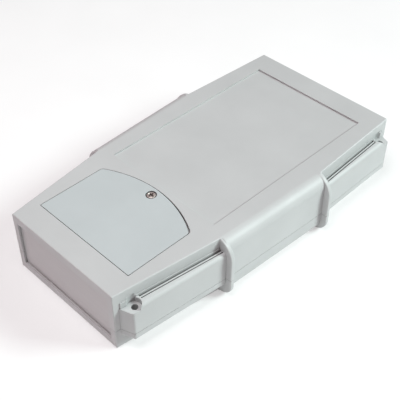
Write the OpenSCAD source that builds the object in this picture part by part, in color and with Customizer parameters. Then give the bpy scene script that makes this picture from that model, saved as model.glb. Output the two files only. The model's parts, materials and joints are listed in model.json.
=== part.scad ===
// Handheld enclosure: two moulded shells, end panels and a battery door.
// Millimetres. X runs across the case, Y along it from the battery end to the far end, Z up.
// The origin is at the middle of the base.

/* [Case] */
// Length of the case, end to end
case_len = 239.6; // [228:0.2:262]
// Height of the case
case_h = 45; // [43:0.5:52]
// Width of the top at the battery end
near_w = 93; // [90:0.2:98]
// Width of the top where it meets the near collars
near_collar_w = 113.2; // [110:0.2:115]
// Width of the top where it meets the far collars
far_collar_w = 121.6; // [118:0.2:124]
// Width of the top at the far end
far_w = 114.2; // [110:0.2:117]
// Height of the line where the two shells meet
split_h = 14.8; // [14.4:0.1:18]
// Height of the thin open seam above that line
seam_w = 0.2; // [0.1:0.05:0.4]
// Thickness of the outer walls
wall = 2.6; // [2.2:0.1:3]
// Radius along the outer edges of both end sections
edge_r = 0.8; // [0.5:0.1:2]

/* [Grip] */
// How far the sides swell beyond the top between the collars
grip_swell = 6.5; // [6:0.1:8]
// Radius of the soft upper edge between the collars
grip_top_r = 8; // [6:0.1:9]
// Radius of the lower edge between the collars
grip_bottom_r = 8.4; // [6:0.1:11]

/* [Collars] */
// Distance from the battery end to the near collars
near_collar_at = 74.3; // [72:0.1:77]
// Distance from the battery end to the far collars
far_collar_at = 159.7; // [151:0.1:166]
// Thickness of a collar along the case
collar_t = 3.2; // [2.6:0.1:4]
// Radius along both edges of a collar's rim
collar_edge_r = 0.8; // [0.4:0.1:1.2]
// Width over the two near collars
near_collar_reach = 133.2; // [131:0.2:138]
// Width over the two far collars
far_collar_reach = 143; // [140:0.2:148]
// Radius of a collar's upper corner
collar_top_r = 15; // [12:0.1:17]
// Height by which that corner's arc would pass the top face
collar_crown = 0.75; // [0.3:0.05:1.5]
// Radius of a collar's lower corner
collar_bottom_r = 9; // [6:0.1:11]

/* [Rails] */
// Width over the near rails, drawn on to the battery end
near_rail_w = 110; // [109:0.2:112]
// Width over the near rails at the collars
near_rail_collar_w = 125; // [123:0.2:126]
// Width over the far rails at the collars
far_rail_collar_w = 132; // [130:0.2:134]
// Width over the far rails, drawn on to the far end
far_rail_w = 130; // [128:0.2:132]
// Distance from the top face down to the top of a rail
rail_drop = 9; // [8.5:0.1:10]
// Height of a rail's underside above the base
rail_base_h = 9.5; // [8:0.1:10.5]
// Radius of a rail's upper outer edge
rail_top_r = 2.4; // [1:0.1:3]
// Radius of a rail's lower outer edge
rail_bottom_r = 1.6; // [0.5:0.1:2.5]
// Distance from the end of the case to the root of a rail
rail_setback = 3.9; // [3:0.1:5]
// Slant of a rail's end face
rail_slant = 20; // [10:1:25]
// Radius of a rail's upright outer corner
rail_end_r = 2; // [1:0.1:2.5]

/* [Channels] */
// Distance from the top face down to the ledge at the wall's foot
foot_drop = 8; // [7:0.1:8.4]
// Width of that ledge
foot_w = 0.6; // [0.4:0.1:0.8]
// Width of each groove beside a rail
groove_w = 0.9; // [0.7:0.1:1.1]
// Depth of the grooves below the top of the rail
groove_d = 2.2; // [1.5:0.1:2.4]
// Width of the thin rib between the grooves
rib_w = 1; // [0.8:0.1:1.2]
// Distance from the top of the rail down to the top of the rib
rib_drop = 0.3; // [0.1:0.1:0.8]
// Thickness of the rail left between a screw's notch and the grooves
channel_rim = 1; // [0.8:0.1:2]
// Length of the block that closes the outer groove near a collar
stop_len = 5; // [3:0.5:7]
// Height of that block above the groove's floor
stop_h = 1.2; // [0.5:0.1:1.4]
// Distance from that block to the collar
stop_gap = 2.4; // [1.5:0.1:4]

/* [Corner screw holes] */
// Diameter of the screw holes
hole_d = 4.2; // [3.6:0.1:4.4]
// Distance of the holes from the ends of the case
hole_in = 11.2; // [10.5:0.1:12]
// Distance of the holes from the outer face of a rail
hole_edge = 4.1; // [3.6:0.1:4.4]
// Radius of the notch round a screw head
notch_r = 4.2; // [3.8:0.1:4.5]
// Distance from the top face down to the ledge under a screw head
ledge_drop = 12.5; // [11.5:0.1:14]
// Width of the ring round a screw hole on which the two shells bear
bearing_t = 1.2; // [0.8:0.1:1.3]
// Length of solid rail beyond a screw hole
boss_len = 6; // [5:0.5:8]
// Radius of the room for a driver, cut into the wall beside a hole
driver_r = 4.8; // [4.6:0.1:5]
// Distance from the top face down to the top of that room
driver_drop = 6; // [5:0.1:7]

/* [End panels] */
// Thickness of an end panel
panel_t = 2; // [1.5:0.1:2.5]
// Distance of a panel's slot from the end of the case
panel_in = 1.5; // [1.2:0.1:2.2]
// Width of the posts beside a panel
post_w = 4.5; // [4:0.1:5.5]
// Height of the frame above and below a panel
frame_h = 5.6; // [4.8:0.1:6.2]
// Depth of the slot that holds a panel's edge
slot_d = 1.5; // [1:0.1:1.8]
// Play of a panel in its slot
panel_play = 0.2; // [0.1:0.05:0.3]
// Depth of the solid frame at each end
frame_d = 7.5; // [7.2:0.1:8]

/* [Label recess] */
// Width of the recess in the top face
label_w = 92.2; // [80:0.2:100]
// Length of the recess
label_len = 141.5; // [120:0.5:143]
// Distance from the battery end to the recess
label_at = 80.3; // [80:0.1:83]
// Depth of the recess
label_d = 1; // [0.4:0.1:1.2]

/* [Battery door] */
// Width of the door
door_w = 81.2; // [76:0.2:84]
// Distance from the battery end to the door's straight edge
door_at = 17.3; // [16:0.1:19]
// Distance from the battery end to the top of the door's arc
door_arc_at = 77.1; // [76.5:0.1:78.5]
// Radius of the arc
door_arc_r = 78; // [70:1:90]
// How far the arc is moved to the left, to leave room for a fingernail at its right
nail_shift = 1.8; // [0.5:0.1:2]
// Radius of the corners beside the arc
door_corner_r = 3; // [2:0.1:5]
// Thickness of the door
door_t = 2.2; // [2:0.1:2.5]
// Gap round the door
door_gap = 0.35; // [0.3:0.05:0.6]
// Width of the seat round the door opening
seat_lap = 2.4; // [2:0.1:3]
// Thickness of the seat under the door
seat_t = 2; // [1.6:0.1:2.4]
// Width of each tongue on the door's straight edge
tongue_w = 10; // [6:0.5:14]
// Distance between the middles of the tongues
tongue_span = 44; // [30:1:48]
// Reach of a tongue under the top
tongue_reach = 3; // [2:0.1:3.5]
// Thickness of a tongue
tongue_t = 1.6; // [1.2:0.1:2]
// Room above a tongue
tongue_gap = 0.3; // [0.2:0.05:0.5]
// Height of the ribs under the door
door_rib_h = 2.4; // [1.5:0.1:3]
// Thickness of the ribs under the door
door_rib_t = 1.2; // [1:0.1:1.6]

/* [Door screw] */
// Distance from the battery end to the screw
screw_at = 71.5; // [71:0.1:72.5]
// Diameter of the screw's head
head_d = 6; // [5.4:0.1:6.4]
// Height of the screw's head
head_h = 1.3; // [1:0.1:1.4]
// Diameter of the recess round the head
head_recess_d = 7.3; // [6.8:0.1:8]
// Length of the cross slots in the head
cross_l = 3.4; // [3:0.1:3.8]
// Width of the cross slots
cross_w = 1; // [0.8:0.1:1.2]
// Depth of the cross slots
cross_d = 0.9; // [0.6:0.1:0.9]
// Diameter of the screw's shank
shank_d = 3; // [2.6:0.1:3.2]
// Length of shank inside the insert
shank_reach = 2.5; // [2:0.1:2.8]
// Room round the shank
shank_gap = 0.3; // [0.25:0.05:0.4]
// Length of the brass insert
insert_len = 5.7; // [4:0.1:7]
// Wall of the brass insert
insert_wall = 0.9; // [0.7:0.1:1.1]
// Wall of the boss round the insert
boss_wall = 1.8; // [1.4:0.1:2.2]
// Play of the insert in its boss
insert_play = 0.03; // [0.02:0.01:0.06]

/* [Battery bay] */
// Length of the bay along the cells
bay_len = 56; // [55:0.5:57]
// Distance from the battery end to the bay
bay_at = 11.5; // [11.2:0.1:12]
// Distance between the middles of two cells
cell_pitch = 15; // [14.8:0.1:15.6]
// Radius of the cradle under a cell
cradle_r = 7.4; // [7.3:0.1:7.6]
// Height of the ridges between the cells
cradle_h = 4; // [3:0.1:6]
// Depth of the bay below the door's seat
bay_d = 17.3; // [16.8:0.1:18]
// Thickness of the bay's walls
bay_wall = 2; // [1.5:0.1:2]
// Play of the outer cells at the sides of the bay
bay_play = 1.5; // [1:0.1:2]

/* [Battery contacts] */
// Thickness of the contact plates
contact_t = 0.4; // [0.3:0.05:0.5]
// Height of the contact plates
contact_h = 12.5; // [11:0.1:13.5]
// Width of a plate behind one cell
contact_w = 11; // [9:0.5:12]
// Play of a plate between the wall and the cradle
contact_play = 0.1; // [0.05:0.05:0.2]
// Width of the solder tag on a terminal
tag_w = 3; // [2:0.5:4]
// Reach of a solder tag behind the bay's wall
tag_reach = 4; // [3:0.5:6]
// Height of a solder tag above the floor of the bay
tag_h = 2; // [1:0.5:4]
// Play of a solder tag in its slot
tag_play = 0.2; // [0.1:0.05:0.3]
// Diameter of the raised button that meets a cell
button_d = 5; // [4:0.1:6]
// Height of that button
button_h = 1; // [0.6:0.1:1.4]
// Free length of a contact spring
spring_len = 7; // [6:0.1:8]
// Radius of a spring at its plate
spring_r = 4; // [3.5:0.1:4.5]
// Radius of a spring at its tip
spring_tip_r = 2.6; // [2:0.1:3]
// Radius of the spring wire
wire_r = 0.4; // [0.3:0.05:0.5]
// Turns of a spring
spring_turns = 4; // [3:0.5:5]

/* [Inside] */
// Thickness of the tongue along the lower shell's rim
rim_t = 1; // [0.8:0.1:1.2]
// Height of that tongue above the split
rim_h = 1.6; // [1:0.1:2]
// Play between the tongue and the upper shell
rim_play = 0.15; // [0.1:0.05:0.25]
// Diameter of the posts for a circuit board
post_d = 6.5; // [6:0.1:8]
// Height of those posts above the floor
post_h = 5; // [3:0.5:8]
// Diameter of the pilot holes in the posts
pilot_d = 2.4; // [2:0.1:2.8]
// Distance between the posts across the case
post_span = 92; // [60:1:94]
// Distance between the posts along the case
post_run = 110; // [90:1:120]

/* [Hidden] */
$fn = 64;

case_grey = [0.79, 0.80, 0.79];
panel_grey = [0.72, 0.71, 0.72];
door_grey = [0.78, 0.81, 0.82];
steel = [0.70, 0.68, 0.66];
brass = [0.80, 0.65, 0.35];

// Room for cuts to pass through a face, and the reach of a sweep past its line
over = 1;
reach = 200;
// Round edges pass a flat face by this much before they are trimmed flush with it
skim = 0.02;
// Depth by which a small rib roots in what carries it
root = 0.3;
full_turn = 360;

// Y of a point at distance d from the battery end
function at(d) = d - case_len / 2;

// X on a side line at y
function x_on(line, y) =
    line[0].x + (line[1].x - line[0].x) * (y - line[0].y) / (line[1].y - line[0].y);

// The same side line on the left of the case
function left(line) = [[-line[1].x, line[1].y], [-line[0].x, line[0].y]];

// The same end line at the other end of the case
function turned(line) = [-line[0], -line[1]];

// The unit vector that points out of the case from a line
function outward(line) =
    let (run = line[1] - line[0])
    [run.y, -run.x] / norm(run);

// The same line drawn into the case
function drawn_in(line, d) = [for (p = line) p - d * outward(line)];

// Where two lines cross
function crossing(a, b) =
    let (
        run_a = a[1] - a[0],
        run_b = b[1] - b[0]
    )
    a[0] + run_a * cross(b[0] - a[0], run_b) / cross(run_a, run_b);

near_face_y = at(near_collar_at);
far_face_y = at(far_collar_at + collar_t);
near_mid_y = near_face_y + collar_t / 2;
far_mid_y = far_face_y - collar_t / 2;
end_y = case_len / 2;

near_edge = [[near_w / 2, -end_y], [near_collar_w / 2, near_face_y]];
far_edge = [[far_collar_w / 2, far_face_y], [far_w / 2, end_y]];
grip_edge = [
    [near_collar_w / 2 + grip_swell, near_face_y],
    [far_collar_w / 2 + grip_swell, far_face_y]
];
near_rail = [[near_rail_w / 2, -end_y], [near_rail_collar_w / 2, near_face_y]];
far_rail = [[far_rail_collar_w / 2, far_face_y], [far_rail_w / 2, end_y]];
near_end = [[-near_w / 2, -end_y], [near_w / 2, -end_y]];
far_end = turned([[-far_w / 2, -end_y], [far_w / 2, -end_y]]);

near_root_y = -end_y + rail_setback;
far_root_y = end_y - rail_setback;
near_root = [x_on(near_edge, near_root_y), near_root_y];
far_root = [x_on(far_edge, far_root_y), far_root_y];
slant = [cos(rail_slant), sin(rail_slant)];
near_rail_end = [near_root, near_root + slant];
far_rail_end = [[far_root.x + slant.x, far_root.y - slant.y], far_root];

rail_top_h = case_h - rail_drop;
groove_h = rail_top_h - groove_d;
foot_h = case_h - foot_drop;
ledge_h = case_h - ledge_drop;
channel_w = 2 * groove_w + rib_w;

near_hole_y = -end_y + hole_in;
far_hole_y = end_y - hole_in;
near_hole = [x_on(near_rail, near_hole_y) - hole_edge, near_hole_y];
far_hole = [x_on(far_rail, far_hole_y) - hole_edge, far_hole_y];
near_channel_y = near_hole_y + notch_r + channel_rim;
far_channel_y = far_hole_y - notch_r - channel_rim;

slot_w = panel_t + panel_play;
near_open = near_w / 2 - post_w;
far_open = far_w / 2 - post_w;

seat_h = case_h - door_t;
roof_h = case_h - wall;
door_y = at(door_at);
arc_y = at(door_arc_at) - door_arc_r;
corner_x = door_w / 2 - door_corner_r;

// The middle of a round corner beside the door's arc, from the middle of an arc moved by a shift
function corner_from(shift) =
    let (x = corner_x - shift)
    [x, sqrt(pow(door_arc_r - door_corner_r, 2) - pow(x, 2))];

screw_y = at(screw_at);
insert_r = shank_d / 2 + shank_gap + insert_wall;
head_seat_h = case_h - head_h;

bay_y = at(bay_at);
bay_half = 2 * cell_pitch + bay_play;
bay_floor_h = seat_h - bay_d;
cell_axis_h = bay_floor_h + cradle_r;
cell_x = [for (i = [-1.5:1:1.5]) i * cell_pitch];
terminal_x = [cell_x[0], cell_x[3]];

// Volumes that bound a stretch of the case

module slab_y(y0, y1) {
    translate([-reach, y0, -reach]) cube([2 * reach, y1 - y0, 2 * reach]);
}

module slab_z(z0, z1) {
    translate([-reach, -reach, z0]) cube([2 * reach, 2 * reach, z1 - z0]);
}

module both_sides() {
    children();
    mirror([1, 0, 0]) children();
}

// Sweeps a section along a line, with the section's x pointing to the right of the line
module sweep(line) {
    run = line[1] - line[0];
    translate([line[0].x, line[0].y, 0])
        rotate([0, 0, -atan2(run.x, run.y)])
            rotate([90, 0, 0])
                translate([0, 0, -norm(run) - reach])
                    linear_extrude(norm(run) + 2 * reach) children();
}

module corner_cut(r) {
    difference() {
        square(r + over);
        circle(r);
    }
}

// A section that reaches inwards from its outer edge at x = 0, with round corners
module edge_section(z0, z1, r_top, r_bottom) {
    difference() {
        translate([-reach, z0]) square([reach, z1 - z0]);
        if (r_top > 0) translate([-r_top, z1 - r_top]) corner_cut(r_top);
        if (r_bottom > 0) translate([-r_bottom, z0 + r_bottom]) mirror([0, 1]) corner_cut(r_bottom);
    }
}

// The solid inside all of the lines, drawn in by an inset, with its y and z limits as [low, high]
module within(lines, y, z, r_top = 0, r_bottom = 0, inset = 0) {
    intersection() {
        intersection_for (line = lines)
            sweep(line)
                translate([-inset, 0]) edge_section(z[0] - skim, z[1] + skim, r_top, r_bottom);
        slab_y(y[0], y[1]);
        slab_z(z[0], z[1]);
    }
}

// What lies outside a round upright corner, where two lines cross
module corner_waste(a, b, r) {
    centre = crossing(drawn_in(a, r), drawn_in(b, r));
    to_a = 2 * r * outward(a);
    to_b = 2 * r * outward(b);
    translate([centre.x, centre.y, -over])
        linear_extrude(case_h + 2 * over)
            difference() {
                polygon([[0, 0], to_a, to_a + to_b, to_b]);
                circle(r + skim);
            }
}

// Outer form of the case

module near_core() {
    difference() {
        within([near_edge, left(near_edge), near_end], [-end_y - over, near_mid_y], [0, case_h],
            edge_r, edge_r);
        both_sides() corner_waste(near_edge, near_end, edge_r);
    }
}

module far_core() {
    difference() {
        within([far_edge, left(far_edge), far_end], [far_mid_y, end_y + over], [0, case_h],
            edge_r, edge_r);
        both_sides() corner_waste(far_edge, far_end, edge_r);
    }
}

module grip() {
    within([grip_edge, left(grip_edge)], [near_mid_y, far_mid_y], [0, case_h], grip_top_r, grip_bottom_r);
}

// A collar's rim has two round edges: the same section is turned round both corners
module collar_section(r) {
    difference() {
        square([r, collar_t]);
        translate([r - collar_edge_r, collar_t - collar_edge_r]) corner_cut(collar_edge_r);
        translate([r - collar_edge_r, collar_edge_r]) mirror([0, 1]) corner_cut(collar_edge_r);
    }
}

module collar_corner(r) {
    translate([0, collar_t, 0]) rotate([90, 0, 0]) rotate_extrude(angle = 90) collar_section(r);
}

module collar(width) {
    top_h = case_h - collar_top_r + collar_crown;
    top_x = width / 2 - collar_top_r;
    bottom_x = width / 2 - collar_bottom_r;
    intersection() {
        union() {
            translate([top_x, 0, top_h]) collar_corner(collar_top_r);
            translate([top_x, 0, collar_bottom_r])
                linear_extrude(top_h - collar_bottom_r) collar_section(collar_top_r);
            translate([bottom_x, 0, collar_bottom_r]) mirror([0, 0, 1]) collar_corner(collar_bottom_r);
            translate([top_x, 0, 0]) cube([bottom_x - top_x, collar_t, collar_bottom_r]);
        }
        slab_z(0, case_h);
    }
}

module collars() {
    both_sides() translate([0, near_face_y, 0]) collar(near_collar_reach);
    both_sides() translate([0, far_face_y - collar_t, 0]) collar(far_collar_reach);
}

// Notch round a screw head, open towards the end of the case: end is -1 or 1
module screw_notch(end) {
    cylinder(r = notch_r, h = reach);
    translate([-reach / 2, end < 0 ? -reach : 0, 0]) cube([reach, reach, reach]);
}

module channel_cut(edge, y0, y1) {
    intersection() {
        sweep(edge) translate([foot_w, groove_h]) square([channel_w, reach]);
        slab_y(y0, y1);
    }
}

// Ledge at the wall's foot, also beside the screw holes
module foot_ledge(edge, y0, y1) {
    intersection() {
        sweep(edge)
            translate([-over, ledge_h - over]) square([foot_w + over, foot_h - ledge_h + over]);
        slab_y(y0, y1);
    }
}

// Thin rib, and the block that closes the outer groove
module channel_ribs(edge, y0, y1, stop_y) {
    intersection() {
        sweep(edge)
            translate([foot_w + groove_w, groove_h - over]) square([rib_w, groove_d - rib_drop + over]);
        slab_y(y0, y1);
    }
    intersection() {
        sweep(edge)
            translate([foot_w + groove_w, groove_h - over])
                square([channel_w - groove_w + root, stop_h + over]);
        slab_y(stop_y, stop_y + stop_len);
    }
}

// The slanted end faces of both rails run on into the case, so y stops short of its end
module rails(rail, rail_end, y, hole, end) {
    difference() {
        within([rail, left(rail), rail_end, left(rail_end)], y, [rail_base_h, rail_top_h],
            rail_top_r, rail_bottom_r);
        both_sides() {
            translate([hole.x, hole.y, ledge_h]) screw_notch(end);
            corner_waste(rail, rail_end, rail_end_r);
            children();
        }
    }
}

module near_rails() {
    rails(near_rail, near_rail_end, [-end_y + rail_setback / 2, near_mid_y], near_hole, -1)
        channel_cut(near_edge, near_channel_y, near_mid_y);
    both_sides() {
        foot_ledge(near_edge, near_root_y + foot_w, near_mid_y);
        channel_ribs(near_edge, near_channel_y - root, near_mid_y, near_face_y - stop_gap - stop_len);
    }
}

module far_rails() {
    rails(far_rail, far_rail_end, [far_mid_y, end_y - rail_setback / 2], far_hole, 1)
        channel_cut(far_edge, far_mid_y, far_channel_y);
    both_sides() {
        foot_ledge(far_edge, far_mid_y, far_root_y - foot_w);
        channel_ribs(far_edge, far_mid_y, far_channel_y + root, far_face_y + stop_gap);
    }
}

module case_form() {
    near_core();
    grip();
    far_core();
    near_rails();
    far_rails();
    collars();
}

// Hollow of the closed case, drawn in by a further inset

module case_hollow(inset = 0) {
    depth = wall + inset;
    z = [depth, case_h - depth];
    rail_z = [rail_base_h + depth, groove_h - depth];
    lap = collar_t + inset + over;
    within([near_edge, left(near_edge)], [-end_y + frame_d + inset, near_face_y + lap], z,
        inset = depth);
    within([far_edge, left(far_edge)], [far_face_y - lap, end_y - frame_d - inset], z,
        inset = depth);
    within([grip_edge, left(grip_edge)],
        [near_face_y + collar_t + inset, far_face_y - collar_t - inset], z,
        grip_top_r - wall, grip_bottom_r - wall, depth);
    within([near_rail, left(near_rail)], [near_hole_y + boss_len + inset, near_face_y - inset], rail_z,
        inset = depth);
    within([far_rail, left(far_rail)], [far_face_y + inset, far_hole_y - boss_len - inset], rail_z,
        inset = depth);
}

module screw_holes() {
    for (hole = [near_hole, far_hole])
        both_sides() translate([hole.x, hole.y, 0]) cylinder(d = hole_d, h = case_h);
}

// Room for a driver in the wall and the foot ledge beside a screw hole
module driver_room(edge, hole) {
    intersection() {
        translate([hole.x, hole.y, ledge_h]) cylinder(r = driver_r, h = ledge_drop - driver_drop);
        sweep(edge) translate([-reach, 0]) square([reach + foot_w + skim, case_h]);
    }
}

// Opening and slot for the panel at the battery end
module panel_frame(half) {
    translate([-half, -over, frame_h]) cube([2 * half, frame_d + 2 * over, case_h - 2 * frame_h]);
    translate([-half - slot_d, panel_in, frame_h - slot_d])
        cube([2 * (half + slot_d), slot_w, case_h - 2 * (frame_h - slot_d)]);
}

module panel_frames() {
    translate([0, -end_y, 0]) panel_frame(near_open);
    translate([0, end_y, 0]) rotate([0, 0, 180]) panel_frame(far_open);
}

module case_shell() {
    difference() {
        case_form();
        case_hollow();
        screw_holes();
        both_sides() {
            driver_room(near_edge, near_hole);
            driver_room(far_edge, far_hole);
        }
        panel_frames();
    }
}

module end_panel(half) {
    width = 2 * (half + slot_d) - panel_play;
    height = case_h - 2 * (frame_h - slot_d) - panel_play;
    translate([-width / 2, panel_in + panel_play / 2, frame_h - slot_d]) cube([width, panel_t, height]);
}

// Outline of the opening for the door, drawn out by a margin, with its arc's two corners rounded off
// The arc may be moved to the right by a shift
module door_outline(margin = 0, shift = 0) {
    r = door_corner_r + margin;
    difference() {
        intersection() {
            translate([-door_w / 2 - margin, door_y - margin]) square([door_w + 2 * margin, reach]);
            translate([shift, arc_y]) circle(door_arc_r + margin);
        }
        for (side = [1, -1]) {
            corner = corner_from(side * shift);
            mirror([1 - side, 0])
                translate([corner_x, arc_y + corner.y])
                    difference() {
                        polygon([[0, 0], [4 * r, 0], [4 * r, 4 * r], 4 * r * corner / norm(corner)]);
                        circle(r + skim);
                    }
        }
    }
}

// Battery bay

module bay_block(grow, z0, z1) {
    translate([-bay_half - grow, bay_y - grow, z0])
        cube([2 * (bay_half + grow), bay_len + 2 * grow, z1 - z0]);
}

module cradles() {
    trap = contact_t + contact_play;
    difference() {
        translate([-bay_half, bay_y + trap, bay_floor_h - over])
            cube([2 * bay_half, bay_len - 2 * trap, cradle_h + over]);
        for (x = cell_x)
            translate([x, bay_y - over, cell_axis_h])
                rotate([-90, 0, 0]) cylinder(r = cradle_r, h = bay_len + 2 * over);
    }
}

module bay_walls() {
    bay_block(bay_wall, bay_floor_h - bay_wall, roof_h + over);
    translate([0, 0, seat_h - seat_t]) linear_extrude(seat_t) door_outline(seat_lap);
    translate([0, screw_y, seat_h - insert_len - bay_wall])
        cylinder(r = insert_r + boss_wall, h = insert_len + bay_wall);
}

// A bar through the far wall of the bay, behind one cell
module tag_bar(x, play) {
    translate([x - tag_w / 2 - play, bay_y + bay_len - contact_t, bay_floor_h + tag_h - play])
        cube([tag_w + 2 * play, contact_t + bay_wall + tag_reach, contact_t + 2 * play]);
}

module bay_cuts() {
    bay_block(0, bay_floor_h, roof_h);
    for (x = terminal_x) tag_bar(x, tag_play);
    translate([0, 0, seat_h]) linear_extrude(case_h) door_outline(door_gap);
    translate([-bay_half, door_y - door_gap, roof_h - over])
        cube([2 * bay_half, bay_y + bay_len - door_y + door_gap, case_h]);
    translate([0, screw_y, seat_h - insert_len])
        cylinder(r = insert_r + insert_play, h = insert_len + over);
}

module label_recess() {
    translate([-label_w / 2, at(label_at), case_h - label_d]) cube([label_w, label_len, label_d + over]);
}

// What lies above the seam, with the rings round the screw holes that bear on the lower shell
module above_seam() {
    slab_z(split_h + seam_w, reach);
    for (hole = [near_hole, far_hole])
        both_sides()
            translate([hole.x, hole.y, split_h])
                cylinder(r = hole_d / 2 + bearing_t, h = seam_w + over);
}

module upper_shell() {
    color(case_grey) {
        difference() {
            union() {
                intersection() {
                    case_shell();
                    above_seam();
                }
                bay_walls();
            }
            bay_cuts();
            label_recess();
        }
        cradles();
    }
}

// Tongue inside the lower shell's rim, clear of the corner bosses
module rim_tongue() {
    difference() {
        intersection() {
            union() {
                intersection() {
                    case_hollow();
                    slab_z(split_h - rim_h, split_h);
                }
                intersection() {
                    case_hollow(rim_play);
                    slab_z(split_h - over, split_h + rim_h);
                }
            }
            slab_y(near_hole_y + boss_len, far_hole_y - boss_len);
        }
        case_hollow(rim_play + rim_t);
    }
}

module board_posts() {
    for (x = [-post_span / 2, post_span / 2], y = [-post_run / 2, post_run / 2])
        translate([x, y, wall - over])
            difference() {
                cylinder(d = post_d, h = post_h + over);
                translate([0, 0, over]) cylinder(d = pilot_d, h = post_h + over);
            }
}

module lower_shell() {
    color(case_grey) {
        intersection() {
            case_shell();
            slab_z(-over, split_h);
        }
        rim_tongue();
        board_posts();
    }
}

module near_end_panel() {
    color(panel_grey) translate([0, -end_y, 0]) end_panel(near_open);
}

module far_end_panel() {
    color(panel_grey) translate([0, end_y, 0]) rotate([0, 0, 180]) end_panel(far_open);
}

module door_tongues() {
    top_h = roof_h - tongue_gap;
    for (side = [-1, 1])
        translate([side * tongue_span / 2 - tongue_w / 2, door_y, top_h - tongue_t]) {
            translate([0, -tongue_reach, 0]) cube([tongue_w, tongue_reach + door_rib_t, tongue_t]);
            cube([tongue_w, door_rib_t, seat_h - top_h + tongue_t + over]);
        }
}

// Ribs that drop into the mouth of the bay
module door_ribs() {
    x = bay_half - door_gap;
    y1 = bay_y + bay_len - door_gap;
    y0 = door_y + door_rib_t + door_gap;
    z = seat_h - door_rib_h;
    h = door_rib_h + over;
    for (side = [-1, 1])
        translate([side * (x - door_rib_t / 2) - door_rib_t / 2, y0, z])
            cube([door_rib_t, y1 - y0, h]);
    translate([-x, y1 - door_rib_t, z]) cube([2 * x, door_rib_t, h]);
}

module battery_door() {
    color(door_grey)
        difference() {
            union() {
                translate([0, 0, seat_h])
                    linear_extrude(door_t)
                        intersection() {
                            door_outline();
                            door_outline(shift = -nail_shift);
                        }
                door_tongues();
                door_ribs();
            }
            translate([0, screw_y, head_seat_h]) cylinder(d = head_recess_d, h = case_h);
            translate([0, screw_y, seat_h - over]) cylinder(r = shank_d / 2 + shank_gap, h = case_h);
        }
}

module door_screw() {
    color(steel)
        translate([0, screw_y, 0])
            difference() {
                union() {
                    translate([0, 0, seat_h - shank_reach])
                        cylinder(d = shank_d, h = head_seat_h - seat_h + shank_reach);
                    translate([0, 0, head_seat_h])
                        rotate_extrude() difference() {
                            square([head_d / 2, head_h]);
                            translate([head_d / 2 - head_h / 2, head_h / 2]) corner_cut(head_h / 2);
                        }
                }
                for (turn = [45, 135])
                    translate([0, 0, case_h - cross_d])
                        rotate([0, 0, turn])
                            translate([-cross_l / 2, -cross_w / 2, 0]) cube([cross_l, cross_w, head_h]);
            }
}

module door_insert() {
    color(brass)
        translate([0, screw_y, seat_h - insert_len])
            difference() {
                cylinder(r = insert_r, h = insert_len);
                translate([0, 0, -over]) cylinder(r = shank_d / 2 + shank_gap, h = insert_len + 2 * over);
            }
}

// Battery contacts: plates stand on the floor of the bay against its end walls

// One point of the spring wire: s runs from 0 at the plate to 1 at the tip, b round the wire
function wire_point(s, b) =
    let (
        turn = full_turn * spring_turns * s,
        r = spring_r + (spring_tip_r - spring_r) * s + wire_r * cos(b),
        rise = wire_r + (spring_len - 2 * wire_r) * s + wire_r * sin(b)
    )
    [r * cos(turn), r * sin(turn), rise];

module coil_spring() {
    sides = 6;
    rings_a_turn = 14;
    rings = ceil(spring_turns * rings_a_turn);
    polyhedron(
        points = [for (i = [0:rings], j = [0:sides - 1]) wire_point(i / rings, full_turn * j / sides)],
        faces = concat(
            [[for (j = [sides - 1:-1:0]) j]],
            [for (i = [0:rings - 1], j = [0:sides - 1])
                let (k = (j + 1) % sides)
                [i * sides + j, i * sides + k, (i + 1) * sides + k, (i + 1) * sides + j]],
            [[for (j = [0:sides - 1]) rings * sides + j]]
        )
    );
}

module button() {
    top_r = button_d / 2 - button_h;
    rotate_extrude() polygon([[0, 0], [button_d / 2, 0], [top_r, button_h], [0, button_h]]);
}

// A plate behind the cells from x0 to x1, facing +Y, with springs and buttons at given places
module contact(x0, x1, springs, buttons) {
    color(steel) {
        translate([x0 - contact_w / 2, 0, bay_floor_h]) cube([x1 - x0 + contact_w, contact_t, contact_h]);
        for (x = springs) translate([x, contact_t, cell_axis_h]) rotate([-90, 0, 0]) coil_spring();
        for (x = buttons) translate([x, contact_t, cell_axis_h]) rotate([-90, 0, 0]) button();
    }
}

module near_contact(x0, x1, springs, buttons) {
    translate([0, bay_y, 0]) contact(x0, x1, springs, buttons);
}

// At the far wall the plate is turned round, so its places along X change sign
module far_contact(x0, x1, springs, buttons) {
    translate([0, bay_y + bay_len, 0]) rotate([0, 0, 180]) contact(-x1, -x0, -springs, -buttons);
}

module contact_bridge_left() {
    near_contact(cell_x[0], cell_x[1], [cell_x[0]], [cell_x[1]]);
}

module contact_bridge_right() {
    near_contact(cell_x[2], cell_x[3], [cell_x[2]], [cell_x[3]]);
}

module contact_bridge_middle() {
    far_contact(cell_x[1], cell_x[2], [cell_x[1]], [cell_x[2]]);
}

module contact_positive() {
    x = terminal_x[0];
    far_contact(x, x, [], [x]);
    color(steel) tag_bar(x, 0);
}

module contact_negative() {
    x = terminal_x[1];
    far_contact(x, x, [x], []);
    color(steel) tag_bar(x, 0);
}

upper_shell();
lower_shell();
near_end_panel();
far_end_panel();
battery_door();
door_screw();
door_insert();
contact_bridge_left();
contact_bridge_right();
contact_bridge_middle();
contact_positive();
contact_negative();
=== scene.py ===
# %% [markdown]
# A handheld instrument case
#
# The real object is an empty plastic case for an instrument that is held in two hands: two pale grey
# shells, a flat plate in each end, and a door for batteries that one small screw keeps shut.
# Its form was drawn in CAD and packed as a frame of named nodes, in metres. This lesson loads that
# frame, gives each node the finish of the real material, models the small metal parts in more detail
# than the CAD needs, and sets up the light and the camera.

# %% Load the frame
import json
import math

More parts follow.
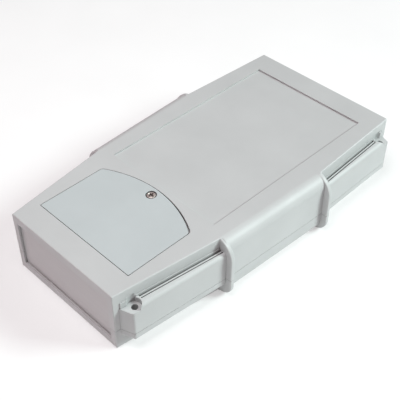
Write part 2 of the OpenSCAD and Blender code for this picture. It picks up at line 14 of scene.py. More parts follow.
import bmesh
import bpy
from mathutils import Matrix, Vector


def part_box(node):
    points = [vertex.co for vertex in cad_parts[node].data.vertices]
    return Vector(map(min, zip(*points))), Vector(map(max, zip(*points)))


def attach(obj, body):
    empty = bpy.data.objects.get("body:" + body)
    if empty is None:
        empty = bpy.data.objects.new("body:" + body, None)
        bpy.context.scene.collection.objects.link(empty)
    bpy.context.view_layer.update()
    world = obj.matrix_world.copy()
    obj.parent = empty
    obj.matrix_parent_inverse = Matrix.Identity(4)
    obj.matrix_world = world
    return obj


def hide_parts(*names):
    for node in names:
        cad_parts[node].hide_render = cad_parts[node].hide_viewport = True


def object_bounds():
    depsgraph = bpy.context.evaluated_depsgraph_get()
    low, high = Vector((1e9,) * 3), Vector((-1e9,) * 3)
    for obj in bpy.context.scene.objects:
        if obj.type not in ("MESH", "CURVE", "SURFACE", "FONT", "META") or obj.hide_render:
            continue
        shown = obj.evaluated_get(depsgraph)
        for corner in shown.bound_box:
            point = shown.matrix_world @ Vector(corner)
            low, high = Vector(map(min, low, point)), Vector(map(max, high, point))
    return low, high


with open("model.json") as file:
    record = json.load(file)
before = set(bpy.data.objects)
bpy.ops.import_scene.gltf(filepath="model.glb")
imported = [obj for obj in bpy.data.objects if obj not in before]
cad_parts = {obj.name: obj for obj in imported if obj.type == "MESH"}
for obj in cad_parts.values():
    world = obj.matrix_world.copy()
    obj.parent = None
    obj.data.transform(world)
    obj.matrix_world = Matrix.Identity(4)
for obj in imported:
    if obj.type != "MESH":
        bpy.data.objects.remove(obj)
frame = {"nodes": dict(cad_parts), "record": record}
cad_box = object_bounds()
case_size = cad_box[1] - cad_box[0]
print("nodes loaded:", len(frame["nodes"]))
print("case in mm:", [round(1000 * side, 1) for side in case_size])

# %% [markdown]
# The camera
#
# The photographer stood over the near right corner and looked down across the case. Such a view can
# be set by eye, or worked out from where known corners of the case fall in the picture. The second
# way was chosen, because a lens that is off by a little shows at once along the straight rails.

# %% Place the camera
CAMERA_AT = (0.2851, -0.2885, 0.3840)
CAMERA_TILT_DOWN = 42.753
CAMERA_TURN = 45.226
LENS_MM = 73.07
SENSOR_MM = 36.0

camera_data = bpy.data.cameras.new("studio_camera")
camera_data.lens = LENS_MM
camera_data.sensor_width = SENSOR_MM
camera = bpy.data.objects.new("studio_camera", camera_data)
camera.location = CAMERA_AT
camera.rotation_euler = (math.radians(90 - CAMERA_TILT_DOWN), 0, math.radians(CAMERA_TURN))
bpy.context.scene.collection.objects.link(camera)
bpy.context.scene.camera = camera
print("camera distance in m:", round(camera.location.length, 3))

# %% [markdown]
# Colours and materials
#
# Plastic, plate and metal all start from the same shader. Its colours could be typed as the linear
# values that it wants, but nobody sees a grey that way. So they are written as a painter reads them
# from a screen, and a small helper turns them into linear values.

# %% Helpers for colours and materials
MM = 0.001


def shade(red, green, blue):
    """A screen colour from 0 to 255 as the linear colour that a shader takes."""
    linear = []
    for channel in (red, green, blue):
        part = channel / 255
        linear.append(part / 12.92 if part <= 0.04045 else ((part + 0.055) / 1.055) ** 2.4)
    return (*linear, 1.0)


def new_finish(name):
    """A named material with its nodes, its links and its shader."""
    finish = bpy.data.materials.new(name)
    finish.use_nodes = True
    tree = finish.node_tree
    return finish, tree.nodes, tree.links, tree.nodes["Principled BSDF"]


print("white in linear terms:", shade(255, 255, 255)[:3])

# %% [markdown]
# Cloudy patterns
#
# A finish that looks real is never one even colour. Pictures of real surfaces could give the faint
# shades, but they need unwrapping and have seams. Here a cloudy pattern is worked out from the place
# of each point on the part, and a colour ramp turns it into two tones that lie close together.

# %% Helpers for patterns
CLOUD_LOW = 0.3
CLOUD_HIGH = 0.7


def part_place(nodes):
    """The place of a point on the part, in metres."""
    return nodes.new("ShaderNodeTexCoord").outputs["Object"]


def speckle(nodes, links, place, size, detail):
    """A cloudy pattern whose patches are about size metres across."""
    cloud = nodes.new("ShaderNodeTexNoise")
    cloud.inputs["Scale"].default_value = 1 / size
    cloud.inputs["Detail"].default_value = detail
    links.new(place, cloud.inputs["Vector"])
    return cloud.outputs["Fac"]


def two_tones(nodes, links, pattern, dark, light):
    """Runs from a darker to a lighter tone along a cloudy pattern."""
    ramp = nodes.new("ShaderNodeValToRGB")
    ramp.color_ramp.elements[0].position = CLOUD_LOW
    ramp.color_ramp.elements[0].color = dark
    ramp.color_ramp.elements[1].position = CLOUD_HIGH
    ramp.color_ramp.elements[1].color = light
    links.new(pattern, ramp.inputs["Fac"])
    return ramp.outputs["Color"]


print("a cloudy pattern is used from", CLOUD_LOW, "to", CLOUD_HIGH)

# %% [markdown]
# The floor
#
# Behind the case the photograph is plain white, with hardly a shadow. Studios get that from a table of
# milky sheet that is lit from below. Pure white paper would show the case's shadow, so here too a flat
# sheet, far wider than the case, glows a little of its own. It has a very faint mottle, so that it
# isn't a dead surface. It isn't part of the object.

# %% Lay the floor
FLOOR_HALF = 30.0
FLOOR_GLOW = 0.44
FLOOR_MOTTLE = 60 * MM
FLOOR_ROUGHNESS = 0.9
FLOOR_SHEEN = 0.1

floor_mesh = bpy.data.meshes.new("lit_floor")
floor_form = bmesh.new()
floor_corners = []
for x, y in ((-1, -1), (1, -1), (1, 1), (-1, 1)):
    floor_corners.append(floor_form.verts.new((x * FLOOR_HALF, y * FLOOR_HALF, 0)))
floor_form.faces.new(floor_corners)
floor_form.to_mesh(floor_mesh)
floor_form.free()
floor = bpy.data.objects.new("lit_floor", floor_mesh)
bpy.context.scene.collection.objects.link(floor)

milky_sheet, sheet_nodes, sheet_links, sheet_shader = new_finish("milky_sheet")
sheet_cloud = speckle(sheet_nodes, sheet_links, part_place(sheet_nodes), FLOOR_MOTTLE, 3)
sheet_tone = two_tones(sheet_nodes, sheet_links, sheet_cloud, shade(196, 196, 196), shade(200, 200, 200))
sheet_links.new(sheet_tone, sheet_shader.inputs["Base Color"])
sheet_shader.inputs["Roughness"].default_value = FLOOR_ROUGHNESS
sheet_shader.inputs["Specular IOR Level"].default_value = FLOOR_SHEEN
sheet_shader.inputs["Emission Color"].default_value = (1, 1, 1, 1)
sheet_shader.inputs["Emission Strength"].default_value = FLOOR_GLOW
floor_mesh.materials.append(milky_sheet)
print("floor side in m:", 2 * FLOOR_HALF)

# %% [markdown]
# The lamps
#
# In the photograph the near collar throws a soft shadow forwards and to the left, down onto the wall
# and the rail. So the main lamp is a softbox that stands behind the case on its right, and its light
# is a little green. A small softbox over the battery end lights the top, which grows darker towards
# the far end. A weak pink one at the front left lights what both leave in the shade. A sun lamp would
# light as evenly, but its shadows would be too crisp for a studio.

# %% Set the lamps
KEY_TOWARDS = Vector((1.0, 0.95, 0.95)).normalized()
KEY_DISTANCE = 2.4
KEY_SIZE = 0.8
KEY_WATTS = 55.0
KEY_COLOUR = (0.86, 1.0, 0.97)
TOP_TOWARDS = Vector((0.0, -0.3, 1.0)).normalized()
TOP_DISTANCE = 0.8
TOP_SIZE = 0.4
TOP_WATTS = 3.6
TOP_COLOUR = (1.0, 0.97, 0.98)
FILL_TOWARDS = Vector((-1.2, -1.0, 0.4)).normalized()
FILL_DISTANCE = 1.6
FILL_SIZE = 0.8
FILL_WATTS = 3.0
FILL_COLOUR = (1.0, 0.5, 0.62)


def softbox(name, towards, distance, size, watts, colour):
    """A square lamp that faces the case from a direction."""
    data = bpy.data.lights.new(name, "AREA")
    data.shape = "SQUARE"
    data.size = size
    data.energy = watts
    data.color = colour
    lamp = bpy.data.objects.new(name, data)
    lamp.location = towards * distance
    lamp.rotation_euler = towards.to_track_quat("Z", "Y").to_euler()
    bpy.context.scene.collection.objects.link(lamp)
    return lamp


key_lamp = softbox("key_softbox", KEY_TOWARDS, KEY_DISTANCE, KEY_SIZE, KEY_WATTS, KEY_COLOUR)
top_lamp = softbox("top_softbox", TOP_TOWARDS, TOP_DISTANCE, TOP_SIZE, TOP_WATTS, TOP_COLOUR)
fill_lamp = softbox("fill_softbox", FILL_TOWARDS, FILL_DISTANCE, FILL_SIZE, FILL_WATTS, FILL_COLOUR)
for lamp in (key_lamp, top_lamp, fill_lamp):
    print(lamp.name, "at", [round(v, 2) for v in lamp.location])

# %% [markdown]
# The room
#
# Shades in the photograph are never black. They have a warm, slightly red tone, which comes from the
# room round the lamps. A model of a room would give it, but a world of one dim colour is enough. The
# plain view transform keeps the pale greys as bright as they were mixed.

# %% Dim the room
ROOM_COLOUR = (1.0, 0.45, 0.55, 1.0)
ROOM_STRENGTH = 0.08

room = bpy.data.worlds.new("dim_room")
room.use_nodes = True
room_light = room.node_tree.nodes["Background"]
room_light.inputs["Color"].default_value = ROOM_COLOUR
room_light.inputs["Strength"].default_value = ROOM_STRENGTH
bpy.context.scene.world = room
bpy.context.scene.view_settings.view_transform = "Standard"
print("strength of the room's light:", ROOM_STRENGTH)

# %% [markdown]
# Painted shade in the gaps
#
# Painted shade darkens the gap round the door, the parting line, the grooves of the rails and other
# inner corners, so that these lines draw darker than the lamps' shadow alone does. It could be painted
# by hand. Blender can also measure how much of the sky over a point is hidden by what lies within a
# millimetre or two, and that share sets where a dark maroon is mixed into the colour.

# %% Paint shade into the gaps
SKY_SAMPLES = 8
# Painted shade: a dark maroon mixed into the base colour in gaps, grooves and inner corners, where shade
# falls.
PAINTED_GAP_SHADE = {
    "colour": shade(74, 56, 56),
    "reach": 1.6 * MM,
    "hidden": 0.2,
    "open": 0.62,
    "most": 0.85,
}


def paint_shade_in_gaps(nodes, links, tone, dust):
    """A tone with painted shade mixed in where little of the sky over a point is open."""
    sky = nodes.new("ShaderNodeAmbientOcclusion")
    sky.samples = SKY_SAMPLES
    sky.inputs["Distance"].default_value = dust["reach"]
    shade_weight = nodes.new("ShaderNodeMapRange")
    shade_weight.inputs["From Min"].default_value = dust["hidden"]
    shade_weight.inputs["From Max"].default_value = dust["open"]
    shade_weight.inputs["To Min"].default_value = dust["most"]
    shade_weight.inputs["To Max"].default_value = 0.0
    links.new(sky.outputs["AO"], shade_weight.inputs["Value"])
    # The painted shade is mixed into the tone by how much of the sky is hidden.
    shaded_tone = nodes.new("ShaderNodeMixRGB")
    shaded_tone.inputs["Color2"].default_value = dust["colour"]
    links.new(shade_weight.outputs["Result"], shaded_tone.inputs["Fac"])
    links.new(tone, shaded_tone.inputs["Color1"])
    return shaded_tone.outputs["Color"]


# How far the painted shade reaches from a gap.
print("dust reaches", PAINTED_GAP_SHADE["reach"] / MM, "mm from a gap")

# %% [markdown]
# Gloss, relief and soft edges
#
# Besides colour, a real surface has a gloss that varies, a relief that one feels more than sees, and
# edges that are never quite sharp. All three could be cut into the mesh, at the cost of millions of
# faces. At this scale the shader can do them: it maps a pattern onto a range of roughness, tilts the
# normals along the pattern, and rounds the normals near an edge.

# %% Helpers for gloss, relief and edges
RELIEF_STRENGTH = 0.6
EDGE_SAMPLES = 6


def between(nodes, links, pattern, low, high):
    """Maps the middle of a cloudy pattern onto the range from low to high."""
    span = nodes.new("ShaderNodeMapRange")
    span.inputs["From Min"].default_value = CLOUD_LOW
    span.inputs["From Max"].default_value = CLOUD_HIGH
    span.inputs["To Min"].default_value = low
    span.inputs["To Max"].default_value = high
    links.new(pattern, span.inputs["Value"])
    return span.outputs["Result"]


def relief(nodes, links, pattern, depth, base_normal=None):
    """Turns a pattern into a fine relief of the given depth in metres."""
    bump = nodes.new("ShaderNodeBump")
    bump.inputs["Strength"].default_value = RELIEF_STRENGTH
    bump.inputs["Distance"].default_value = depth
    links.new(pattern, bump.inputs["Height"])
    if base_normal is not None:
        links.new(base_normal, bump.inputs["Normal"])
    return bump.outputs["Normal"]


def soft_edges(nodes, radius):
    """The normal of the surface as if its sharp edges had a small radius."""
    bevel = nodes.new("ShaderNodeBevel")
    bevel.samples = EDGE_SAMPLES
    bevel.inputs["Radius"].default_value = radius
    return bevel.outputs["Normal"]


print("relief strength:", RELIEF_STRENGTH)

# %% [markdown]
# The grey plastics
#
# Both shells are moulded in one pale grey plastic. The mould was spark eroded, which leaves a grain
# far finer than a millimetre and a satin gloss. The door comes from another mould and is a shade
# bluer. Seen close, such plastic has faint flow shades. The grain could be modelled, but it is so fine
# that a relief in the shader does it, while every form that the eye can see is in the mesh.

# %% Make the moulded plastics
GRAIN = 0.35 * MM
GRAIN_DEPTH = 0.02 * MM
FLOW_SHADES = 35 * MM
EDGE_RADIUS = 0.35 * MM
PLASTIC_IOR = 1.5


def moulded_plastic(name, dark, light, gloss_low, gloss_high):
    """Satin plastic with spark grain, flow shades, softened edges and painted shade in its gaps and inner
    corners.
    """
    finish, nodes, links, shader = new_finish(name)
    place = part_place(nodes)
    flow = speckle(nodes, links, place, FLOW_SHADES, 4)
    grain = speckle(nodes, links, place, GRAIN, 2)
    tone = two_tones(nodes, links, flow, dark, light)
    # The base colour carries painted shade in gaps and inner corners.
    links.new(paint_shade_in_gaps(nodes, links, tone, PAINTED_GAP_SHADE), shader.inputs["Base Color"])
    links.new(between(nodes, links, flow, gloss_high, gloss_low), shader.inputs["Roughness"])
    edges = soft_edges(nodes, EDGE_RADIUS)
    links.new(relief(nodes, links, grain, GRAIN_DEPTH, edges), shader.inputs["Normal"])
    shader.inputs["IOR"].default_value = PLASTIC_IOR
    return finish


case_plastic = moulded_plastic("case_plastic", shade(191, 193, 193), shade(197, 199, 199), 0.46, 0.54)
door_plastic = moulded_plastic("door_plastic", shade(187, 194, 195), shade(193, 200, 201), 0.44, 0.52)
print("plastics:", case_plastic.name, door_plastic.name)

# %% [markdown]
# The end panels
#
# The plates in the two ends are cut from flat sheet, so that a maker can swap them for plates with
# sockets. Sheet has no spark grain. It shows very fine lines along the way that it was drawn, and it
# is a little smoother. The lines come from the same cloudy pattern, stretched along the plate.

# %% Make the sheet plastic
DRAWN_LINE = 0.4 * MM
DRAWN_DEPTH = 0.01 * MM
DRAWN_STRETCH = (0.02, 1, 1)
SHEET_GLOSS = (0.36, 0.44)


def sheet_plastic(name, dark, light):
    """Smooth drawn sheet with fine lines along X."""
    finish, nodes, links, shader = new_finish(name)
    stretch = nodes.new("ShaderNodeMapping")
    stretch.inputs["Scale"].default_value = DRAWN_STRETCH
    links.new(part_place(nodes), stretch.inputs["Vector"])
    lines = speckle(nodes, links, stretch.outputs["Vector"], DRAWN_LINE, 2)
    links.new(two_tones(nodes, links, lines, dark, light), shader.inputs["Base Color"])
    links.new(between(nodes, links, lines, *SHEET_GLOSS), shader.inputs["Roughness"])
    edges = soft_edges(nodes, EDGE_RADIUS)
    links.new(relief(nodes, links, lines, DRAWN_DEPTH, edges), shader.inputs["Normal"])
    shader.inputs["IOR"].default_value = PLASTIC_IOR
    return finish


panel_plastic = sheet_plastic("panel_plastic", shade(190, 190, 190), shade(196, 196, 196))
print("sheet:", panel_plastic.name)

# %% [markdown]
# Plated metal
#
# Plated metal is bright where it is smooth and dull where the plating is cloudy, so the gloss is what
# varies here, more than the colour. Drawing and turning leave fine streaks. They could be given by an
# anisotropic gloss, but a stretched relief also breaks up the highlights, as real streaks do.

# %% Helper for plated metal
STREAK_WIDTH = 0.15 * MM
STREAK_DEPTH = 0.004 * MM


def plated_metal(name, dark, light, gloss_low, gloss_high, cloud_size, streak, metal=1.0, dust=PAINTED_GAP_SHADE):
    """Bright metal with a cloudy gloss, painted shade in its recesses and a fine streak along one axis."""
    finish, nodes, links, shader = new_finish(name)
    place = part_place(nodes)
    cloud = speckle(nodes, links, place, cloud_size, 3)
    stretch = nodes.new("ShaderNodeMapping")
    stretch.inputs["Scale"].default_value = streak
    links.new(place, stretch.inputs["Vector"])
    lines = speckle(nodes, links, stretch.outputs["Vector"], STREAK_WIDTH, 2)
    tone = two_tones(nodes, links, cloud, dark, light)
    # The base colour carries painted shade in recesses.
    links.new(paint_shade_in_gaps(nodes, links, tone, dust), shader.inputs["Base Color"])
    links.new(between(nodes, links, cloud, gloss_low, gloss_high), shader.inputs["Roughness"])
    links.new(relief(nodes, links, lines, STREAK_DEPTH), shader.inputs["Normal"])
    shader.inputs["Metallic"].default_value = metal
    return finish


print("streaks in mm:", STREAK_WIDTH / MM, "wide and", STREAK_DEPTH / MM, "deep")

# %% [markdown]
# The three metals
#
# Three metals are used in this case: the zinc-plated screw, the brass insert that it turns into, and
# the nickel-plated spring steel of the battery contacts. The screw's plating is duller than bare metal,
# and a near-black red is painted as shade into its cross and round its head, deeper than the painted
# shade in the recesses of the other metals. One helper makes all three, and only the screw has its own
# painted shade.

# %% Make the metals
# Painted shade: a near-black red mixed into the screw's cross and the ring round its head, where shade
# falls.
SCREW_PAINTED_SHADE = {
    "colour": shade(44, 20, 18),
    "reach": 2.5 * MM,
    "hidden": 0.5,
    "open": 0.9,
    "most": 1.0,
}

screw_steel = plated_metal(
    "screw_steel", shade(202, 190, 184), shade(226, 217, 211), 0.4, 0.54, 1.2 * MM, (1, 1, 1),
    metal=0.6, dust=SCREW_PAINTED_SHADE,
)
insert_brass = plated_metal(
    "insert_brass", shade(184, 148, 84), shade(212, 178, 108), 0.22, 0.36, 1.5 * MM, (1, 1, 0.05)
)
contact_steel = plated_metal(
    "contact_steel", shade(196, 194, 188), shade(222, 220, 214), 0.18, 0.3, 4 * MM, (0.03, 1, 1)
)
print("metals:", screw_steel.name, insert_brass.name, contact_steel.name)

# %% [markdown]
# Dress the CAD nodes
#
# The forms of the shells, the door and the panels are right as they are, so each node keeps its mesh
# and only takes a finish. The nodes could be listed one by one, but the record already names a finish
# for each of them.

# %% Give each node its finish
finishes = {
    "case_plastic": case_plastic,
    "panel_plastic": panel_plastic,
    "door_plastic": door_plastic,
    "screw_steel": screw_steel,
    "insert_brass": insert_brass,
    "contact_steel": contact_steel,
}
for piece in frame["record"]["subparts"]:
    mesh = frame["nodes"][piece["node"]].data
    mesh.materials.clear()
    mesh.materials.append(finishes[piece["material_slot"]])
    print(piece["node"], "takes", piece["material_slot"])

# %% [markdown]
# Rings of points
#
# The screw, the insert and the contacts are small, but they are what one sees when the door is open.
# All of them can be built from rings of points: a turned part is a stack of circles, a wire is a
# circle carried along a path, and a pressed plate is one outline drawn at several depths. Blender's
# curves would give the wire too, but rings make closed meshes at once and suit all three kinds.

# %% Helpers for rings
TURN = 2 * math.pi


def skin(form, rings, closed=False):
    """Joins rings of points into a surface, with caps at both ends or closed on itself."""
    rows = []
    for ring in rings:
        rows.append([form.verts.new(point) for point in ring])
    pairs = list(zip(rows, rows[1:]))
    if closed:
        pairs.append((rows[-1], rows[0]))
    else:
        form.faces.new(rows[0])
        form.faces.new(rows[-1])
    for one, other in pairs:
        for i in range(len(one)):
            form.faces.new((one[i - 1], one[i], other[i], other[i - 1]))


def turned_ring(radius_at, height, steps):
    """A ring round the Z axis whose radius may change with the share of the turn."""
    ring = []
    for i in range(steps):
        share = i / steps
        radius = radius_at(share)
        ring.append((radius * math.cos(TURN * share), radius * math.sin(TURN * share), height))
    return ring


print("one turn in radians:", round(TURN, 4))

# %% [markdown]
# Pieces that ride
#
# A form becomes a piece once it is an object with a name, a finish and a body to move with. The door's
# screw rises with the door, while the insert and the contacts stay in the case. Each piece is parented
# to an empty named for its body, and the CAD node that it stands for is hidden.

# %% Helpers for pieces
SHARP_FROM = math.radians(38)


def new_piece(name, form, place=(0, 0, 0)):
    """A named object from a form, put in its place."""
    bmesh.ops.recalc_face_normals(form, faces=form.faces)
    mesh = bpy.data.meshes.new(name)
    form.to_mesh(mesh)
    form.free()
    piece = bpy.data.objects.new(name, mesh)
    piece.location = place
    bpy.context.scene.collection.objects.link(piece)
    return piece


def finish_piece(piece, slot, body, node):
    """Gives a piece its finish and lets it stand for a CAD node."""
    mesh = piece.data
    mesh.shade_smooth()
    mesh.set_sharp_from_angle(angle=SHARP_FROM)
    mesh.materials.clear()
    mesh.materials.append(finishes[slot])
    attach(piece, body)
    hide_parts(node)
    print(piece.name, "has", len(mesh.polygons), "faces and rides on", body)


print("edges count as sharp from", round(math.degrees(SHARP_FROM)), "degrees")

# %% [markdown]
# The head of the door screw
#
# One small cross-head screw keeps the door shut. Its head is a low dome with a soft rim. A squashed
# sphere would come near, but its rim would be too thin, so the outline is drawn as steps: how far out
# each ring lies, as a share of the head's radius, and how far down, in millimetres.

# %% Turn the head
SCREW_STEPS = 48
HEAD_OUTLINE = (
    (0.10, 0.0), (0.45, 0.04), (0.70, 0.11), (0.85, 0.21), (0.94, 0.34),
    (0.985, 0.5), (1.0, 0.7), (1.0, 1.14), (0.98, 1.25), (0.94, 1.3),
)

screw_low, screw_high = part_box("door_screw")
screw_axis = (screw_low + screw_high) / 2
head_radius = (screw_high.x - screw_low.x) / 2
screw_length = screw_high.z - screw_low.z

screw_rings = []
for share_out, down in HEAD_OUTLINE:
    screw_rings.append(turned_ring(lambda share: share_out * head_radius, -down * MM, SCREW_STEPS))
print("head radius in mm:", round(head_radius / MM, 2), "from", len(screw_rings), "rings")

# %% [markdown]
# The thread of the door screw
#
# The thread is a ridge that winds round the shank. A separate strip could be wound round a plain
# shank, but here the radius of each ring rises where the ridge passes, so that head, neck and thread
# are one closed skin.

# %% Cut the thread
HEAD_HEIGHT = 1.3 * MM
NECK_LENGTH = 0.9 * MM
THREAD_CREST = 1.48 * MM
THREAD_ROOT = 1.2 * MM
THREAD_PITCH = 0.5 * MM
THREAD_RINGS = 10
THREAD_FADE = 0.4 * MM
TIP_RADIUS = 0.9 * MM


def ridge(depth, share):
    """How far a right-hand thread stands up, from 0 in its groove to 1 on its crest."""
    along = (depth / THREAD_PITCH + share) % 1
    return 1 - abs(2 * along - 1)


def thread_ring(depth, top, tip, steps):
    """A ring of the screw's thread, which runs out at both ends."""
    fade = max(0, min(1, (depth - top) / THREAD_FADE, (tip - depth) / THREAD_FADE))
    stand = (THREAD_CREST - THREAD_ROOT) * fade
    return turned_ring(lambda share: THREAD_ROOT + stand * ridge(depth, share), -depth, steps)


thread_top = HEAD_HEIGHT + NECK_LENGTH
thread_tip = screw_length - (THREAD_ROOT - TIP_RADIUS)
thread_count = round((thread_tip - thread_top) / THREAD_PITCH * THREAD_RINGS)
screw_rings.append(turned_ring(lambda share: THREAD_ROOT, -HEAD_HEIGHT, SCREW_STEPS))
for i in range(thread_count + 1):
    depth = thread_top + (thread_tip - thread_top) * i / thread_count
    screw_rings.append(thread_ring(depth, thread_top, thread_tip, SCREW_STEPS))
screw_rings.append(turned_ring(lambda share: TIP_RADIUS, -screw_length, SCREW_STEPS))

screw_form = bmesh.new()
skin(screw_form, screw_rings)
screw = new_piece("cross_head_screw", screw_form, (screw_axis.x, screw_axis.y, screw_high.z))
print("screw length in mm:", round(screw_length / MM, 2), "from", len(screw_rings), "rings")

# %% [markdown]
# The cross in the head
#
# The cross was pressed in by a tapered punch, so its four arms get shorter and narrower with depth.
# The rings of the head run round, and the arms run across them, so modelling the cross into the rings
# would be clumsy. A Boolean cut with a model of the punch gives clean walls and sharp rims instead.
# Each stage of the punch is the reach of an arm, half its width, and its height, in millimetres.

# %% Press the cross
PUNCH_STAGES = (
    (2.5, 0.78, 0.3), (2.2, 0.66, 0.0), (1.4, 0.42, -0.85), (0.4, 0.24, -1.1),
)


def cross_ring(reach, half_width, height):
    """The outline of a cross with four equal arms, at one height of the punch."""
    ring = []
    for arm in range(4):
        angle = TURN * arm / 4
        along = Vector((math.cos(angle), math.sin(angle), 0))
        across = Vector((-along.y, along.x, 0))
        lift = Vector((0, 0, height))
        ring.append(along * reach - across * half_width + lift)
        ring.append(along * reach + across * half_width + lift)
        ring.append((along + across) * half_width + lift)
    return ring


punch_form = bmesh.new()
skin(punch_form, [cross_ring(*(side * MM for side in stage)) for stage in PUNCH_STAGES])
punch = new_piece("cross_punch", punch_form, screw.location)
press = screw.modifiers.new("cross", "BOOLEAN")
press.object = punch
press.solver = "EXACT"
pressed = screw.evaluated_get(bpy.context.evaluated_depsgraph_get())
screw_mesh = bpy.data.meshes.new_from_object(pressed)
screw.modifiers.clear()
screw.data = screw_mesh
bpy.data.objects.remove(punch)
finish_piece(screw, "screw_steel", "door_screw", "door_screw")

# %% [markdown]
# The knurl of the brass insert
#
# The screw doesn't bite into the plastic. It turns into a small brass bush that was pressed into the
# case while hot. Two knurled bands, slanted opposite ways, keep the bush from turning or pulling out,
# and a plain groove parts them. A displacement texture could raise the knurl, but with one ring of
# points for each height the teeth are simply part of the radius. Each stage is a depth and an inset in
# millimetres, and the way that the teeth slant there.

# %% Knurl the outside of the insert
INSERT_STEPS = 72
KNURL_TEETH = 18
KNURL_DEPTH = 0.2 * MM
KNURL_SLANT = 2.4 / MM
INSERT_STAGES = (
    (0.0, 0.35, 0), (0.25, 0.0, 1), (0.75, 0.0, 1), (1.25, 0.0, 1), (1.75, 0.0, 1), (2.25, 0.0, 1),
    (2.45, 0.4, 0), (3.25, 0.4, 0),
    (3.45, 0.0, -1), (3.95, 0.0, -1), (4.45, 0.0, -1), (4.95, 0.0, -1), (5.45, 0.0, -1), (5.7, 0.35, 0),
)

insert_low, insert_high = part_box("door_insert")
insert_axis = (insert_low + insert_high) / 2
insert_radius = (insert_high.x - insert_low.x) / 2
insert_length = insert_high.z - insert_low.z


def knurled(depth, inset, slant):
    """The radius of the insert's outside as a function of the share of the turn."""
    def radius_at(share):
        tooth = (share * KNURL_TEETH + slant * depth * KNURL_SLANT / KNURL_TEETH) % 1
        dip = KNURL_DEPTH * abs(2 * tooth - 1) if slant else 0
        return insert_radius - inset - dip
    return radius_at


insert_rings = []
for down, inset, slant in INSERT_STAGES:
    insert_rings.append(turned_ring(knurled(down * MM, inset * MM, slant), -down * MM, INSERT_STEPS))
print("insert in mm:", round(2 * insert_radius / MM, 2), "across and", round(insert_length / MM, 2), "long")

# %% [markdown]
# The bore of the brass insert
#
# Inside, the bush has the same thread as the screw. A second part could be cut out of the first, but
# the rings of the outside can also turn back at the lower end and climb up through the bore, so that
# the whole bush is one skin that closes on itself.

# %% Thread the bore of the insert
BORE_RADIUS = 1.8 * MM
BORE_THREAD = 0.2 * MM
BORE_RINGS = 4

bore_count = round(insert_length / THREAD_PITCH * BORE_RINGS)
for i in range(bore_count, -1, -1):
    depth = insert_length * i / bore_count
    insert_rings.append(
        turned_ring(lambda share: BORE_RADIUS + BORE_THREAD * ridge(depth, share), -depth, INSERT_STEPS)
    )
insert_form = bmesh.new()
skin(insert_form, insert_rings, closed=True)
insert = new_piece("knurled_insert", insert_form, (insert_axis.x, insert_axis.y, insert_high.z))
finish_piece(insert, "insert_brass", "case", "door_insert")

# %% [markdown]
# The plates of the battery contacts
#
# Under the door lies a bay for four cells, with a pressed steel contact behind each end of a cell. Its
# plate is thin, with round corners and edges that the press has broken. A box with a bevel would do
# for one plate. An outline with round corners, drawn in a little at both faces, does for every plate
# and for the solder tags, whichever way they face.

# %% Helpers for the plates
PLATE_THICKNESS = 0.4 * MM
PLATE_BEVEL = 0.08 * MM
CORNER_STEPS = 6


def rounded_outline(low, high, corner, inset):
    """The corner points of a rectangle with round corners, drawn in by an inset."""
    outline = []
    radius = corner - inset
    for turn, side_u, side_v in ((0, 1, 1), (1, -1, 1), (2, -1, -1), (3, 1, -1)):
        u = (high[0] - corner) if side_u > 0 else (low[0] + corner)
        v = (high[1] - corner) if side_v > 0 else (low[1] + corner)
        for i in range(CORNER_STEPS + 1):
            angle = TURN / 4 * (turn + i / CORNER_STEPS)
            outline.append((u + radius * math.cos(angle), v + radius * math.sin(angle)))
    return outline


def pressed_plate(form, low, high, corner, depths, point_at):
    """A thin plate with round corners and broken edges, between two depths."""
    near, far = depths
    stages = (
        (near, PLATE_BEVEL), (near + PLATE_BEVEL, 0), (far - PLATE_BEVEL, 0), (far, PLATE_BEVEL),
    )
    rings = []
    for depth, inset in stages:
        outline = rounded_outline(low, high, corner, inset)
        rings.append([point_at(u, v, depth) for u, v in outline])
    skin(form, rings)


print("plates are", PLATE_THICKNESS / MM, "mm thick")

# %% [markdown]
# The buttons
#
# A cell's cap meets a domed button that was pressed out of the plate. It could be part of a sphere, but
# a pressed dome has a flatter top and a soft foot, so its rings follow an outline of radius and rise in
# millimetres.

# %% Helper for the buttons
BUTTON_OUTLINE = ((2.5, 0.0), (2.42, 0.12), (2.1, 0.45), (1.7, 0.75), (1.2, 0.93), (0.6, 1.0))
BUTTON_STEPS = 32


def domed_button(form, x, z, wall_y, facing):
    """The button that meets the cap of a cell."""
    rings = []
    for radius, rise in BUTTON_OUTLINE:
        y = wall_y + facing * (PLATE_THICKNESS + rise * MM)
        ring = []
        for i in range(BUTTON_STEPS):
            angle = TURN * i / BUTTON_STEPS
            ring.append((x + radius * MM * math.cos(angle), y, z + radius * MM * math.sin(angle)))
        rings.append(ring)
    skin(form, rings)


print("a button stands", BUTTON_OUTLINE[-1][1], "mm off its plate")

# %% [markdown]
# The springs
#
# The flat base of a cell sits on a coil spring that narrows towards its tip, and whose first and last
# turns lie flat. Springs could be curves with a round section. As rings carried along a winding path
# they join the same mesh as their plate.

# %% Helper for the springs
SPRING_LENGTH = 7.0 * MM
SPRING_RADIUS = 4.0 * MM
SPRING_TIP_RADIUS = 2.6 * MM
SPRING_TURNS = 4
FLAT_TURNS = 0.7
WIRE_RADIUS = 0.4 * MM
WIRE_SIDES = 10
WIRE_STEPS = 32


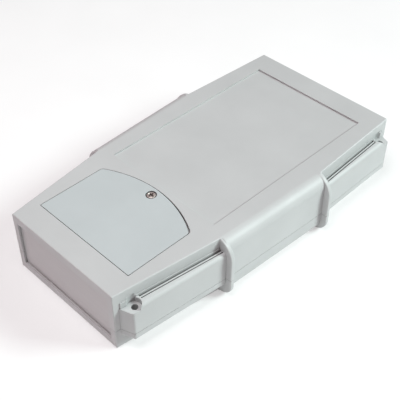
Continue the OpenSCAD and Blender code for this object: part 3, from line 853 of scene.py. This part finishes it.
def coil_spring(form, x, z, wall_y, facing):
    """A spring of round wire, whose first and last turns lie flat."""
    rings = []
    count = SPRING_TURNS * WIRE_STEPS
    for i in range(count + 1):
        share = i / count
        angle = TURN * SPRING_TURNS * share
        radius = SPRING_RADIUS + (SPRING_TIP_RADIUS - SPRING_RADIUS) * share
        climb = (SPRING_TURNS * share - FLAT_TURNS) / (SPRING_TURNS - 2 * FLAT_TURNS)
        climb = max(0, min(1, climb))
        rise = PLATE_THICKNESS + WIRE_RADIUS + (SPRING_LENGTH - 2 * WIRE_RADIUS) * climb
        ring = []
        for j in range(WIRE_SIDES):
            round_wire = TURN * j / WIRE_SIDES
            out = radius + WIRE_RADIUS * math.cos(round_wire)
            up = rise + WIRE_RADIUS * math.sin(round_wire)
            ring.append((x + out * math.cos(angle), wall_y + facing * up, z + out * math.sin(angle)))
        rings.append(ring)
    skin(form, rings)


print("spring wire per turn:", WIRE_STEPS, "rings of", WIRE_SIDES, "points")

# %% [markdown]
# Placing the contacts
#
# Plates that bridge two cells have a spring and a button, and the two outer plates at the far wall
# have one of them and a solder tag. Every plate stands against a wall of the bay, and the CAD node
# that it replaces says where. The near plates face away from the battery end and the far plates face
# towards it. Each could be built by hand, but one function does it, with a sign for the way it faces.

# %% Build the contacts
PLATE_CORNER = 1.6 * MM
CELL_RISE = 7.4 * MM
CELL_FROM_EDGE = 5.5 * MM
TAG_RISE = 2.0 * MM
TAG_HALF_WIDTH = 1.5 * MM
TAG_CORNER = 1.0 * MM

near_wall_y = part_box("contact_bridge_left")[0].y
far_wall_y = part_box("contact_bridge_middle")[1].y


def contact(name, node, facing, spring_side, button_side, tagged=False):
    """A plate with a spring and a button at its left (-1), middle (0) or right (1), or None."""
    low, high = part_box(node)
    wall_y = near_wall_y if facing > 0 else far_wall_y
    places = {-1: low.x + CELL_FROM_EDGE, 0: (low.x + high.x) / 2, 1: high.x - CELL_FROM_EDGE}
    cell_z = low.z + CELL_RISE
    form = bmesh.new()
    pressed_plate(
        form, (low.x, low.z), (high.x, high.z), PLATE_CORNER, (0, PLATE_THICKNESS),
        lambda x, z, depth: (x, wall_y + facing * depth, z),
    )
    if spring_side is not None:
        coil_spring(form, places[spring_side], cell_z, wall_y, facing)
    if button_side is not None:
        domed_button(form, places[button_side], cell_z, wall_y, facing)
    if tagged:
        tag_z = low.z + TAG_RISE
        pressed_plate(
            form, (places[0] - TAG_HALF_WIDTH, wall_y - PLATE_THICKNESS),
            (places[0] + TAG_HALF_WIDTH, high.y), TAG_CORNER, (0, PLATE_THICKNESS),
            lambda x, y, depth: (x, y, tag_z + depth),
        )
    finish_piece(new_piece(name, form), "contact_steel", "case", node)


contact("bridge_contact_left", "contact_bridge_left", 1, -1, 1)
contact("bridge_contact_right", "contact_bridge_right", 1, -1, 1)
contact("bridge_contact_middle", "contact_bridge_middle", -1, -1, 1)
contact("positive_contact", "contact_positive", -1, None, 0, tagged=True)
contact("negative_contact", "contact_negative", -1, 0, None, tagged=True)
